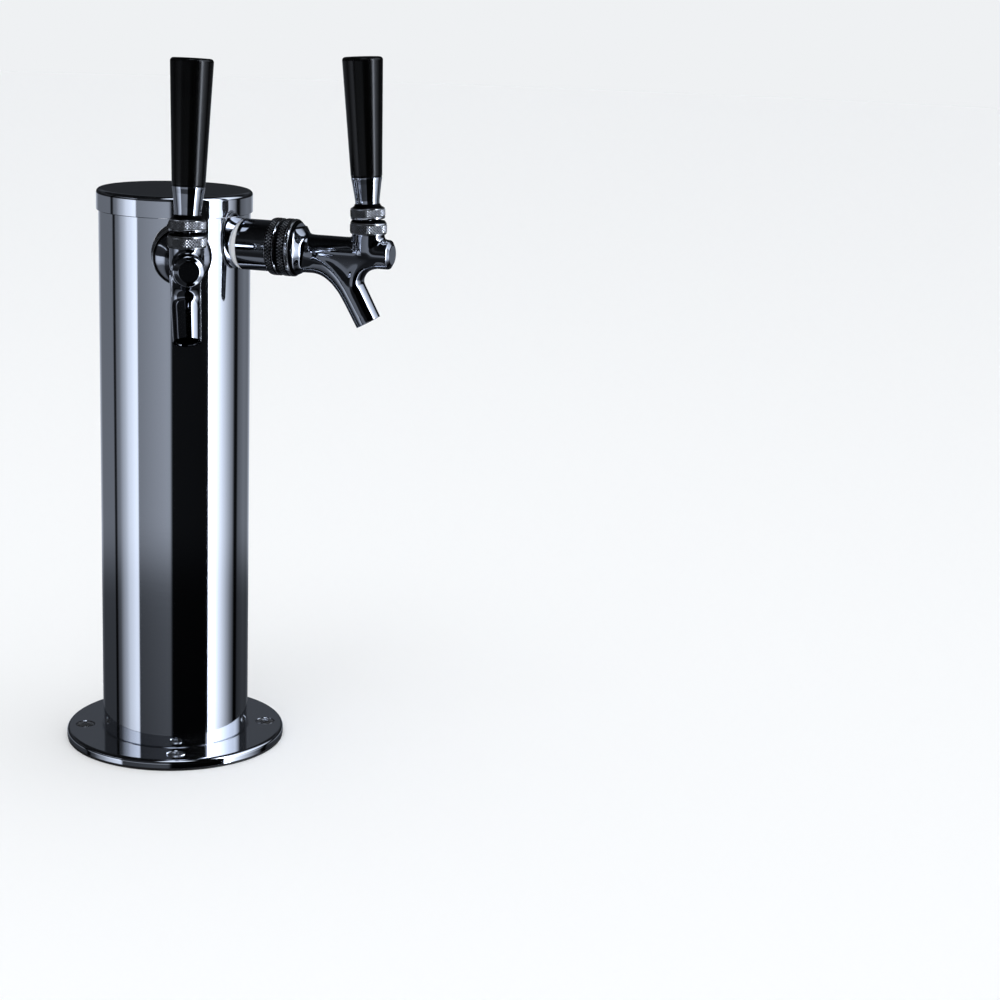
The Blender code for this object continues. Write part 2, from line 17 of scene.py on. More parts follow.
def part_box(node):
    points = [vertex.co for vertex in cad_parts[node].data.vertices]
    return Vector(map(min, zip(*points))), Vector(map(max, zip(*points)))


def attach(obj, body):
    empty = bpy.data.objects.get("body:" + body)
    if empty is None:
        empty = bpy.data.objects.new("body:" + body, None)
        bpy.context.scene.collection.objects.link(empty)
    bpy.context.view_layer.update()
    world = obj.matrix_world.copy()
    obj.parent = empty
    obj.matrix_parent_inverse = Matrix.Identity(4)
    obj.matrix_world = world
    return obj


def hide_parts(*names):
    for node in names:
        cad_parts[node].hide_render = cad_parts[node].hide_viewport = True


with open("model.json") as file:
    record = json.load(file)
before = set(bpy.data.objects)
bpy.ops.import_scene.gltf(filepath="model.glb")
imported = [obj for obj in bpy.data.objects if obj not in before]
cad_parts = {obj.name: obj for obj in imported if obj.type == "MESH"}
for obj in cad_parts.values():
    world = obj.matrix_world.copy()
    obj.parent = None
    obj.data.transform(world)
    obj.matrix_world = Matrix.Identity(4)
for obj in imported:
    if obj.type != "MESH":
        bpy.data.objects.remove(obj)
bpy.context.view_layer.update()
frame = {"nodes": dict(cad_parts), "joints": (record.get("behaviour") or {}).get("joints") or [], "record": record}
MM = 0.001

# %% [markdown]
# ## Where things are
#
# Nothing is placed by eye. The column's axis, the top of the flange, the height of the taps,
# the balls that the levers turn on and the way each tap points are all read from the model,
# so the surfaces made here land exactly on the parts that they stand for.

# %% Read the main places from the model
SIDES = ("left", "right")
joints = {joint["name"]: joint for joint in frame["joints"]}


def middle(node):
    """The centre of a part's box."""
    low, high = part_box(node)
    return (Vector(low) + Vector(high)) / 2


axis_point = middle("column_tube")
flange_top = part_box("base_flange")[1][2]
flange_radius = (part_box("base_flange")[1][0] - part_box("base_flange")[0][0]) / 2
column_radius = (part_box("column_tube")[1][0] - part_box("column_tube")[0][0]) / 2
cap_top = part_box("top_cap")[1][2]
tap_height = middle("coupling_nut_left").z
column_axis = Matrix.Translation((axis_point.x, axis_point.y, 0.0))
print("column radius", round(column_radius / MM, 2), "mm, flange top", round(flange_top / MM, 2))

# %% Make a frame for each tap
HANDLE_LEAN = radians(3.3)     # closed handles lean back towards the column
SIDE_LEAN = {"left": radians(1.8), "right": 0.0}    # play in the joint lets one lean sideways
tap_frame = {}
lever_frame = {}
for side in SIDES:
    outwards = Vector(joints["shaft_slide_" + side]["axis"])
    heading = Matrix.Rotation(atan2(outwards.y, outwards.x), 4, "Z")
    corner = Vector((axis_point.x, axis_point.y, tap_height))
    tap_frame[side] = Matrix.Translation(corner) @ heading
    ball = Vector(joints["lever_pull_" + side]["pos_m"])
    lean = Matrix.Rotation(-HANDLE_LEAN, 4, "Y") @ Matrix.Rotation(-SIDE_LEAN[side], 4, "X")
    lever_frame[side] = Matrix.Translation(ball) @ heading @ lean
lever_reach = (Vector(joints["lever_pull_left"]["pos_m"]).xy - axis_point.xy).length
ball_height = joints["lever_pull_left"]["pos_m"][2] - tap_height
along = Matrix.Rotation(pi / 2, 4, "Y")      # turns a piece's own axis to point out along the tap
print("lever", round(lever_reach / MM, 1), "mm out, ball", round(ball_height / MM, 1), "mm up")

# %% [markdown]
# ## The camera
#
# A catalogue shows a tower from a little above the handles, about a metre away, through a
# long lens that keeps the column straight. A camera can be placed by typing a position and
# three angles. Here it is placed on a circle round the column instead, nearly in line with
# the left tap, and aimed past the column so that the right tap has room, because each of
# those numbers means something. It has no lens shift, so it still works when it is moved.

# %% Set up the camera
CAMERA_TURN = radians(-34.0)        # round the column, from straight in front
CAMERA_DISTANCE = 1.1068
CAMERA_HEIGHT = 0.4053              # above the flange
LOOK_RIGHT = 0.1537                 # radians past the column
LOOK_DOWN = 0.2472
ROLL = 0.0360
LENS = 77.84                        # mm
FILM_WIDTH = 36.0                   # mm

to_camera = Vector((sin(CAMERA_TURN), -cos(CAMERA_TURN), 0.0))
to_right = Vector((cos(CAMERA_TURN), sin(CAMERA_TURN), 0.0))
eye = axis_point.xy.to_3d() + to_camera * CAMERA_DISTANCE
eye.z = flange_top + CAMERA_HEIGHT
ahead = (-to_camera * cos(LOOK_RIGHT) + to_right * sin(LOOK_RIGHT)) * cos(LOOK_DOWN)
ahead.z = -sin(LOOK_DOWN)
level = (to_right * cos(LOOK_RIGHT) + to_camera * sin(LOOK_RIGHT)).normalized()
upright = level.cross(ahead)
across = level * cos(ROLL) + upright * sin(ROLL)
upright = upright * cos(ROLL) - level * sin(ROLL)

camera = bpy.data.objects.new("camera", bpy.data.cameras.new("camera"))
bpy.context.scene.collection.objects.link(camera)
camera.matrix_world = Matrix.Translation(eye) @ Matrix(
    (across, upright, -ahead)).transposed().to_4x4()
camera.data.lens = LENS
camera.data.sensor_width = FILM_WIDTH
camera.data.clip_start = 0.01
bpy.context.scene.camera = camera
bpy.context.scene.view_settings.view_transform = "Standard"
print("the camera is", round(CAMERA_DISTANCE, 2), "m from the column, with a lens of", LENS, "mm")

# %% [markdown]
# ## One function for nodes
#
# A procedural finish is a small network of nodes. Each node could be added, set and linked
# on lines of its own, but that hides the recipe. One function adds any node, sets its
# properties and sockets, and links it to what feeds it, so that a finish reads as a recipe.

# %% Node and colour helpers


def add(tree, kind, settings=None, links=None):
    """Add one node. Settings are properties or socket values, links are socket sources."""
    node = tree.nodes.new(kind)
    for key, value in (settings or {}).items():
        if isinstance(key, str) and hasattr(node, key):
            setattr(node, key, value)
        else:
            node.inputs[key].default_value = value
    for key, source in (links or {}).items():
        tree.links.new(source, node.inputs[key])
    return node


def linear(hex_colour):
    """An sRGB hex colour as linear red, green, blue and alpha."""
    channels = [int(hex_colour[at:at + 2], 16) / 255 for at in (1, 3, 5)]
    return (*[c / 12.92 if c <= 0.04045 else ((c + 0.055) / 1.055) ** 2.4 for c in channels],
            1.0)


def new_finish(name):
    """An empty material, its node tree, its shader and its object coordinates."""
    material = bpy.data.materials.new(name)
    material.use_nodes = True
    tree = material.node_tree
    shader = tree.nodes["Principled BSDF"]
    place = add(tree, "ShaderNodeTexCoord").outputs["Object"]
    return material, tree, shader, place


# %% [markdown]
# ## Polished stainless steel
#
# The column, the cap and the flange are stainless steel, buffed with a wheel until they
# mirror the room. Buffing leaves hairlines that run round the tube, a tenth of a millimetre
# apart, and slow waves too shallow to feel. The hairlines vary the roughness and the waves
# bend the reflections a little, which is what tells polished steel from perfect chrome.

# %% Finish: mirror-polished stainless steel
HAIRLINE = 0.4 * MM        # drawn coarser than real, so that it shows at all
WAVE = 30 * MM


def polished_stainless():
    """Stainless steel buffed to a mirror."""
    material, tree, shader, place = new_finish("mirror_polished_stainless")
    stretched = add(tree, "ShaderNodeMapping", {"Scale": (0.03, 0.03, 1.0)}, {"Vector": place})
    hairlines = add(tree, "ShaderNodeTexNoise", {"Scale": 1 / HAIRLINE, "Detail": 3.0},
                    {"Vector": stretched.outputs[0]})
    waves = add(tree, "ShaderNodeTexNoise", {"Scale": 1 / WAVE, "Detail": 1.0},
                {"Vector": place})
    gloss = add(tree, "ShaderNodeMapRange", {"To Min": 0.03, "To Max": 0.075},
                {"Value": hairlines.outputs["Fac"]})
    height = add(tree, "ShaderNodeMath", {"operation": "MULTIPLY_ADD", 1: 0.02},
                 {0: hairlines.outputs["Fac"], 2: waves.outputs["Fac"]})
    bump = add(tree, "ShaderNodeBump", {"Strength": 0.25, "Distance": 0.02 * MM},
               {"Height": height.outputs[0]})
    shader.inputs["Base Color"].default_value = linear("#DFE2E8")
    shader.inputs["Metallic"].default_value = 1.0
    tree.links.new(gloss.outputs[0], shader.inputs["Roughness"])
    tree.links.new(bump.outputs[0], shader.inputs["Normal"])
    return material


# %% [markdown]
# ## Chrome plate
#
# The faucets are cast or turned brass under chrome plate. Chrome is bluer than polished
# steel; here its tones are also set darker than real plate, which paints in shade, and the
# cast body's tone is the darkest. A cast body keeps a faint orange-peel under the plate; turned
# pieces are smoother. A knurled mesh carries a value at each point that darkens the plate:
# dirt and painted shade in the grooves, painted shade on the tips and in the recesses beside
# the bands. Other meshes have none and stay clean.

# %% Finish: chrome plate, cast and turned
CAST_RIPPLE = 5 * MM
TURNING_MARK = 0.5 * MM
SMEAR = 9 * MM          # where a cloth has been and where it hasn't
# The near-black mixed in where the mask is set: dirt and painted shade in the knurls.
DIRT_AND_SHADE_COLOUR = "#060607"
DIRT_AND_SHADE_DULLS = 0.35      # how much rougher the plate is where the dirt-and-shade mask is full


def chrome_plate(name, ripple, depth, low, high, tone):
    """Chrome over brass, of a given tone, with a ripple of a given size and depth."""
    material, tree, shader, place = new_finish(name)
    ripples = add(tree, "ShaderNodeTexNoise", {"Scale": 1 / ripple, "Detail": 2.0},
                  {"Vector": place})
    smears = add(tree, "ShaderNodeTexNoise", {"Scale": 1 / SMEAR, "Detail": 5.0},
                 {"Vector": place})
    gloss = add(tree, "ShaderNodeMapRange", {"To Min": low, "To Max": high},
                {"Value": smears.outputs["Fac"]})
    bump = add(tree, "ShaderNodeBump", {"Strength": 0.3, "Distance": depth},
               {"Height": ripples.outputs["Fac"]})
    # The mask paints the plate darker: dirt and painted shade in knurl grooves, painted shade on tips and in
    # recesses.
    dirt_and_shade = add(tree, "ShaderNodeAttribute", {"attribute_name": "dirt_and_shade"})
    tint = add(tree, "ShaderNodeMix", {"data_type": "RGBA", 6: linear(tone),
                                       7: linear(DIRT_AND_SHADE_COLOUR)}, {0: dirt_and_shade.outputs["Fac"]})
    dulled = add(tree, "ShaderNodeMath", {"operation": "MULTIPLY_ADD", 1: DIRT_AND_SHADE_DULLS},
                 {0: dirt_and_shade.outputs["Fac"], 2: gloss.outputs[0]})
    shader.inputs["Metallic"].default_value = 1.0
    tree.links.new(tint.outputs[2], shader.inputs["Base Color"])
    tree.links.new(dulled.outputs[0], shader.inputs["Roughness"])
    tree.links.new(bump.outputs[0], shader.inputs["Normal"])
    return material


# %% [markdown]
# ## Moulded phenolic, brass, nylon and rubber
#
# The knobs are black phenolic plastic, moulded and tumbled to a gloss, with a very slight
# orange peel. The rest are plain engineering materials: machined brass, natural nylon
# washers, a white acetal spacer and black nitrile rubber seals. They differ only in colour,
# grain, gloss and whether they are metal, so one function with those settings makes all four.

# %% Finish: glossy black phenolic
PEEL = 2.5 * MM
HAZE = 14 * MM


def black_phenolic():
    """Black moulded plastic with a deep gloss."""
    material, tree, shader, place = new_finish("tumbled_black_phenolic")
    peel = add(tree, "ShaderNodeTexNoise", {"Scale": 1 / PEEL, "Detail": 2.0},
               {"Vector": place})
    haze = add(tree, "ShaderNodeTexNoise", {"Scale": 1 / HAZE, "Detail": 4.0},
               {"Vector": place})
    gloss = add(tree, "ShaderNodeMapRange", {"To Min": 0.17, "To Max": 0.27},
                {"Value": haze.outputs["Fac"]})
    tint = add(tree, "ShaderNodeMix", {"data_type": "RGBA", 6: linear("#010101"),
                                       7: linear("#030304")},
               {0: haze.outputs["Fac"]})
    bump = add(tree, "ShaderNodeBump", {"Strength": 0.15, "Distance": 0.03 * MM},
               {"Height": peel.outputs["Fac"]})
    shader.inputs["IOR"].default_value = 1.45
    shader.inputs["Specular IOR Level"].default_value = 0.4    # tumbling leaves it less glassy
    tree.links.new(tint.outputs[2], shader.inputs["Base Color"])
    tree.links.new(gloss.outputs[0], shader.inputs["Roughness"])
    tree.links.new(bump.outputs[0], shader.inputs["Normal"])
    return material


# %% Finish: the plain engineering materials, and the whole set


def plain_stuff(name, dark, light, grain, low, high, metallic):
    """A material with a fine grain in its colour, its gloss and its surface."""
    material, tree, shader, place = new_finish(name)
    speckle = add(tree, "ShaderNodeTexNoise", {"Scale": 1 / grain, "Detail": 4.0},
                  {"Vector": place})
    tint = add(tree, "ShaderNodeMix", {"data_type": "RGBA", 6: linear(dark), 7: linear(light)},
               {0: speckle.outputs["Fac"]})
    gloss = add(tree, "ShaderNodeMapRange", {"To Min": low, "To Max": high},
                {"Value": speckle.outputs["Fac"]})
    bump = add(tree, "ShaderNodeBump", {"Strength": 0.3, "Distance": 0.02 * MM},
               {"Height": speckle.outputs["Fac"]})
    shader.inputs["Metallic"].default_value = metallic
    tree.links.new(tint.outputs[2], shader.inputs["Base Color"])
    tree.links.new(gloss.outputs[0], shader.inputs["Roughness"])
    tree.links.new(bump.outputs[0], shader.inputs["Normal"])
    return material


steel = polished_stainless()
# The cast and turned chrome tones are set darker than real chrome plate, which paints in shade; the cast body's is
# the darkest.
cast_chrome = chrome_plate("cast_chrome", CAST_RIPPLE, 0.03 * MM, 0.025, 0.06, "#A6A9B0")
turned_chrome = chrome_plate("turned_chrome", TURNING_MARK, 0.001 * MM, 0.03, 0.07, "#B6B9C0")
knurled_chrome = chrome_plate("knurled_chrome", TURNING_MARK, 0.004 * MM, 0.07, 0.13, "#F0F2F6")
screw_plate = chrome_plate("bright_plated_screw", TURNING_MARK, 0.003 * MM, 0.2, 0.3, "#E4E6EA")
phenolic = black_phenolic()
brass = plain_stuff("machined_brass", "#A98545", "#C9A766", 0.6 * MM, 0.2, 0.38, 1.0)
acetal = plain_stuff("white_acetal", "#E9EBEE", "#F4F5F7", 0.5 * MM, 0.3, 0.45, 0.0)
nylon = plain_stuff("natural_nylon", "#D9D5C6", "#E6E3D6", 0.9 * MM, 0.4, 0.55, 0.0)
rubber = plain_stuff("nitrile_rubber", "#111213", "#1B1C1D", 0.4 * MM, 0.5, 0.7, 0.0)
SLOT_FINISH = {"polished_steel": steel, "chrome": turned_chrome, "brass": brass,
               "black_plastic": phenolic, "nylon": nylon, "rubber": rubber}
print("finishes made:", ", ".join(sorted(finish.name for finish in SLOT_FINISH.values())))

# %% [markdown]
# ## Turning, as on a lathe
#
# Nearly every part of a tap is turned. A turned part could start as a cylinder and be cut
# down, but one helper that does what a lathe does is shorter and never leaves a seam: it
# spins half the outline of a section round the axis. The outlines break each circular edge
# with a small bevel, because no machinist leaves one sharp and it is the bevels that catch
# the light. Beside each bevel the helper adds a holding line, which keeps the smooth shading
# of the bevel from spreading over the long surface next to it.

# %% Lathe helpers


def arc(center, radius, start, end, steps):
    """Points on a circle, from one angle to another."""
    turns = [start + (end - start) * step / steps for step in range(steps + 1)]
    return [(center[0] + radius * cos(turn), center[1] + radius * sin(turn)) for turn in turns]


def hold_edges(outline, margin=0.25):
    """Add a point just inside each end of every long line, so its middle is shaded flat."""
    held = []
    for (r0, z0), (r1, z1) in zip(outline, outline[1:] + outline[:1]):
        length = hypot(r1 - r0, z1 - z0)
        held.append((r0, z0))
        if length > 6 * margin and max(r0, r1) > 0:
            for share in (margin / length, 1 - margin / length):
                held.append((r0 + (r1 - r0) * share, z0 + (z1 - z0) * share))
    return held


def turn_on_lathe(outline, steps=96):
    """Spin a closed outline of (radius, height) points in mm round the upright axis."""
    outline = hold_edges(outline)
    work = bmesh.new()
    points = [work.verts.new((radius * MM, 0.0, height * MM)) for radius, height in outline]
    for here, there in zip(points, points[1:] + points[:1]):
        if max(here.co.x, there.co.x) > 0.0:
            work.edges.new((here, there))
    bmesh.ops.spin(work, geom=work.verts[:] + work.edges[:], cent=(0, 0, 0), axis=(0, 0, 1),
                   angle=2 * pi, steps=steps, use_merge=True)
    bmesh.ops.remove_doubles(work, verts=work.verts, dist=1e-7)
    bmesh.ops.recalc_face_normals(work, faces=work.faces)
    return work


def deliver(name, work, place, finish, body, slot, *nodes, smooth=radians(28)):
    """Turn a working mesh into a finished piece, in place, riding on its body."""
    work.transform(place)
    bmesh.ops.recalc_face_normals(work, faces=work.faces)
    mesh = bpy.data.meshes.new(name)
    work.to_mesh(mesh)
    work.free()
    mesh.shade_smooth()
    mesh.set_sharp_from_angle(angle=smooth)
    mesh.materials.append(finish)
    piece = bpy.data.objects.new(name, mesh)
    bpy.context.scene.collection.objects.link(piece)
    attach(piece, body)
    if nodes:
        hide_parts(*nodes)
    print(name, "has", len(mesh.polygons), "faces")


# %% [markdown]
# ## Knurling
#
# A knurl is a pattern of small diamonds rolled into a turned band so that fingers can grip
# it. A bump pattern would look flat at the band's edges, so the diamonds are real. On the
# lathe the band is spun with one step for each half diamond. Every other point is then
# pressed in, like the black squares of a chessboard, and the short diagonals between the
# pressed points become the grooves. The points in the grooves, on the tips and in any recess
# beside the band get a value that the plate's finish reads to paint them darker: dirt and
# painted shade in the grooves, painted shade on the tips and in the recesses.

# %% Knurling helpers
FINE_DIAMOND = 1.45     # mm across one diamond, half as coarse again as real, so that it shows
COARSE_DIAMOND = 1.7
GROOVE_DEPTH = 0.32     # mm
RECESS = 0.45           # mm below the band, where shade is painted in too


def knurl_steps(radius, diamond):
    """How many half diamonds go round a band, as an even number."""
    return 2 * round(2 * pi * radius / diamond)


def row_count(start, end, diamond):
    """How many half diamonds go up a band, as an even number and at least four."""
    return 2 * max(2, round((end - start) / diamond))


def knurl_rows(radius, start, end, diamond):
    """Outline points up a band, with one row for each half diamond."""
    rows = row_count(start, end, diamond)
    return [(radius, start + (end - start) * row / rows) for row in range(rows + 1)]


def press_diamonds(work, radius, start, end, diamond, tips, grooves):
    """Press in every other point of a band, and set the dark mask on tips, grooves and recesses: painted shade,
    and dirt in the grooves.
    """
    dirt_and_shade = work.verts.layers.float.get("dirt_and_shade") or work.verts.layers.float.new("dirt_and_shade")
    rows = row_count(start, end, diamond)
    turn = 2 * pi / knurl_steps(radius, diamond)
    rise = (end - start) / rows
    band = []
    for vert in work.verts:
        if abs(hypot(vert.co.x, vert.co.y) / MM - radius) > 0.01:
            continue
        row = (vert.co.z / MM - start) / rise
        if row < -0.01 or row > rows + 0.01:
            continue
        band.append(vert)
        column = round(atan2(vert.co.y, vert.co.x) / turn)
        outer_row = round(row) in (0, rows)
        if (column + round(row)) % 2 or outer_row:
            vert.tag = True
    pressed = {vert for vert in band if vert.tag}
    # Recesses get full painted shade; grooves get dirt and painted shade, and tips the share given.
    for vert in work.verts:
        if hypot(vert.co.x, vert.co.y) / MM < radius - RECESS:
            vert[dirt_and_shade] = 1.0
    for vert in band:
        vert[dirt_and_shade] = grooves if vert in pressed else tips
    for vert in pressed:
        inwards = (radius - GROOVE_DEPTH) / radius
        vert.co.x *= inwards
        vert.co.y *= inwards
        vert.tag = False
    members = set(band)
    faces = [face for face in work.faces if all(vert in members for vert in face.verts)]
    bmesh.ops.triangulate(work, faces=faces, quad_method="SHORT_EDGE")


# %% [markdown]
# ## Cutting one shape with another
#
# Holes and saddle-shaped ends are cut the way a hole saw cuts them, with one solid taken out
# of another. The exact solver is slower than the fast one but keeps every piece closed. The
# cut is applied at once, so that the finished piece is plain mesh.

# %% Cutting helpers


def as_object(work, label):
    """Put a working mesh into a plain object, so that a modifier can be used on it."""
    mesh = bpy.data.meshes.new(label)
    work.to_mesh(mesh)
    work.free()
    solid = bpy.data.objects.new(label, mesh)
    bpy.context.scene.collection.objects.link(solid)
    return solid


def modified(solid, *helpers):
    """The working mesh that an object's modifier leaves. The objects are thrown away."""
    seen = solid.evaluated_get(bpy.context.evaluated_depsgraph_get())
    result = bmesh.new()
    result.from_mesh(seen.to_mesh())
    seen.to_mesh_clear()
    for spent in (solid, *helpers):
        mesh = spent.data
        bpy.data.objects.remove(spent)
        bpy.data.meshes.remove(mesh)
    return result


def combine(work, tool, operation="DIFFERENCE"):
    """Cut one working mesh with another, or join them, and return the result."""
    solid = as_object(work, "workpiece")
    helper = as_object(tool, "tool")
    step = solid.modifiers.new("combine", "BOOLEAN")
    step.operation = operation
    step.object = helper
    step.solver = "EXACT"
    return modified(solid, helper)


def moved(work, matrix):
    """The same working mesh, moved."""
    work.transform(matrix)
    return work


# %% [markdown]
# ## The column
#
# The column is a three-inch stainless tube. Two holes near the top let the shanks through.
# It could be a cylinder with a thickness, but its foot has a fine chamfer, so its section is
# spun like everything else, with many steps, because a mirror shows every flat.

# %% Column tube
COLUMN_STEPS = 240
WALL = 1.5
FOOT_CHAMFER = 0.5      # draws the fine dark line where the tube stands on the flange
SHANK_HOLE = 11.4
radius_mm = column_radius / MM
top_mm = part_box("column_tube")[1][2] / MM
foot_mm = flange_top / MM
tube = turn_on_lathe([(radius_mm - WALL, foot_mm), (radius_mm - FOOT_CHAMFER, foot_mm),
                      (radius_mm, foot_mm + FOOT_CHAMFER), (radius_mm, top_mm),
                      (radius_mm - WALL, top_mm)], COLUMN_STEPS)
for side in SIDES:
    drill = turn_on_lathe([(0, 20), (SHANK_HOLE, 20), (SHANK_HOLE, 50), (0, 50)], 64)
    to_drill = column_axis.inverted() @ tap_frame[side] @ along
    tube = combine(tube, moved(drill, to_drill))
deliver("column_polished", tube, column_axis, steel, "tower", "polished_steel", "column_tube")

# %% [markdown]
# ## The flange, its gasket and its screws
#
# The flange is a turned disc with a rounded rim. Four countersunk screws hold it to the bar
# top, over a thin rubber gasket that keeps spilt beer out. The countersinks are drilled with
# a turned tool. The screws have low domed heads, and the cross recess is cut with one blade
# at a time, because two blades that cross in one tool would confuse the cut.

# %% Flange and gasket
RIM_ROUND = 2.0
BEAD = 0.22             # height of the low weld bead dressed round the tube's foot
BEAD_HALF = 0.4         # half its width
BEAD_CENTRE = 0.45      # out from the tube
OPENING = 34.0
SCREW_HEAD = 4.6
SCREW_SHANK = 2.1
HEAD_SINK = 0.1         # how far the rim of a head sits below the flange's top
HOLE_GAP = 0.4          # the holes are this much larger than the screws
head_top = foot_mm - HEAD_SINK
head_low = head_top - (SCREW_HEAD - SCREW_SHANK)
screw_places = [middle(f"flange_screw_{number}") for number in range(1, 5)]
flange_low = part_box("base_flange")[0][2] / MM
rim_mm = flange_radius / MM
rim = arc((rim_mm - RIM_ROUND, foot_mm - RIM_ROUND), RIM_ROUND, 0, pi / 2, 10)
bead = arc((radius_mm + BEAD_CENTRE, foot_mm), BEAD_HALF, 0, pi, 6)
bead = [(reach, foot_mm + (height - foot_mm) * BEAD / BEAD_HALF) for reach, height in bead]
flange = turn_on_lathe([(OPENING, flange_low), (rim_mm - 0.4, flange_low),
                        (rim_mm, flange_low + 0.4), *rim, *bead, (OPENING, foot_mm)], 192)
gasket = turn_on_lathe([(OPENING, 0), (rim_mm - 0.3, 0), (rim_mm - 0.3, flange_low - 0.02),
                        (OPENING, flange_low - 0.02)], 128)
for place in screw_places:
    to_hole = column_axis.inverted() @ Matrix.Translation((place.x, place.y, 0))
    sink = [(0, -1), (SCREW_SHANK + HOLE_GAP, -1), (SCREW_SHANK + HOLE_GAP, head_low),
            (SCREW_HEAD + HOLE_GAP, head_top), (SCREW_HEAD + 0.55, foot_mm + 0.05),
            (SCREW_HEAD + 0.55, foot_mm + 1), (0, foot_mm + 1)]
    flange = combine(flange, moved(turn_on_lathe(sink, 48), to_hole))
    gasket = combine(gasket, moved(turn_on_lathe(sink, 24), to_hole))
deliver("flange_polished", flange, column_axis, steel, "tower", "polished_steel",
        "base_flange")
deliver("gasket_rubber", gasket, column_axis, rubber, "tower", "rubber", "base_gasket")

# %% Countersunk screws with a cross recess
RECESS_DEPTH = 1.5


def driver_blade(top, turn):
    """One blade of a cross-head driver: it narrows downwards, and is turned on its axis."""
    blade = bmesh.new()
    for vert in bmesh.ops.create_cube(blade, size=1.0)["verts"]:
        low = vert.co.z < 0
        vert.co.x *= (2.0 if low else 5.2) * MM
        vert.co.y *= (0.7 if low else 1.1) * MM
        vert.co.z = (top - RECESS_DEPTH if low else top + 1.5) * MM
    return moved(blade, Matrix.Rotation(turn, 4, "Z"))


for number, place in enumerate(screw_places, start=1):
    screw = turn_on_lathe([(0, 0.1), (SCREW_SHANK, 0.1), (SCREW_SHANK, head_low),
                           (SCREW_HEAD, head_top - 0.15), (SCREW_HEAD - 0.15, head_top),
                           (3.6, head_top + 0.32), (2.4, head_top + 0.6),
                           (1.2, head_top + 0.76), (0, head_top + 0.8)], 48)
    outwards = place.xy - axis_point.xy
    slant = atan2(outwards.y, outwards.x) + pi / 4
    for turn in (slant, slant + pi / 2):
        screw = combine(screw, driver_blade(head_top, turn))
    deliver(f"screw_{number}", screw, Matrix.Translation((place.x, place.y, 0)), screw_plate,
            "tower", "polished_steel", f"flange_screw_{number}")

# %% [markdown]
# ## The cap
#
# The cap is pressed from thin polished sheet: a shallow lid with a skirt that grips the
# column, and a rounded edge where the sheet was drawn over the die. Both sides of the sheet
# are in the outline, because the inside shows when the cap is lifted.

# %% Cap
CAP_SHEET = 1.0
DRAW_ROUND = 2.2
cap_mm = cap_top / MM
cap_radius = (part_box("top_cap")[1][0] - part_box("top_cap")[0][0]) / 2 / MM
skirt_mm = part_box("top_cap")[0][2] / MM
skirt_inside = radius_mm + 0.1
outer_bend = arc((cap_radius - DRAW_ROUND, cap_mm - DRAW_ROUND), DRAW_ROUND, 0, pi / 2, 10)
inner_bend = arc((skirt_inside - DRAW_ROUND + CAP_SHEET, cap_mm - DRAW_ROUND),
                 DRAW_ROUND - CAP_SHEET, pi / 2, 0, 6)
cap = turn_on_lathe([(0, cap_mm - CAP_SHEET), *inner_bend, (skirt_inside, skirt_mm + 0.3),
                     (skirt_inside + 0.2, skirt_mm), (cap_radius - 0.3, skirt_mm),
                     (cap_radius, skirt_mm + 0.3), *outer_bend, (0, cap_mm)], COLUMN_STEPS)
deliver("cap_polished", cap, column_axis, steel, "cap", "polished_steel", "top_cap")

# %% [markdown]
# ## Sleeves and coupling nuts
#
# A smooth sleeve fills the space between the column and the coupling nut. It is cut square,
# so a white acetal spacer fills the gap behind it. The spacer's inner end is cut to the curve
# of the column with a solid post of the column's size. The working model has no such spacer,
# so this piece takes the place of none. The coupling nut pulls the faucet onto the shank. It
# has two knurled bands with a narrow groove between them.

# %% Sleeves
SLEEVE = 12.75
SLEEVE_START = 38.2
NUT_START = 54.0
for side in SIDES:
    sleeve = turn_on_lathe([(SHANK_HOLE, SLEEVE_START), (SLEEVE - 0.3, SLEEVE_START),
                            (SLEEVE, SLEEVE_START + 0.3), (SLEEVE, NUT_START - 0.6),
                            (SLEEVE - 0.3, NUT_START - 0.3), (SHANK_HOLE, NUT_START - 0.3)], 128)
    spacer = turn_on_lathe([(SHANK_HOLE, 30), (SLEEVE - 0.1, 30),
                            (SLEEVE - 0.1, SLEEVE_START - 0.05),
                            (SHANK_HOLE, SLEEVE_START - 0.05)], 128)
    post = turn_on_lathe([(0, 200), (radius_mm + 0.02, 200), (radius_mm + 0.02, 300), (0, 300)],
                         COLUMN_STEPS)
    to_post = along.inverted() @ tap_frame[side].inverted() @ column_axis
    spacer = combine(spacer, moved(post, to_post))
    deliver(f"spacer_{side}", spacer, tap_frame[side] @ along, acetal, "tower", "nylon")
    deliver(f"sleeve_{side}", sleeve, tap_frame[side] @ along, turned_chrome, "tower", "chrome",
            f"shank_sleeve_{side}")

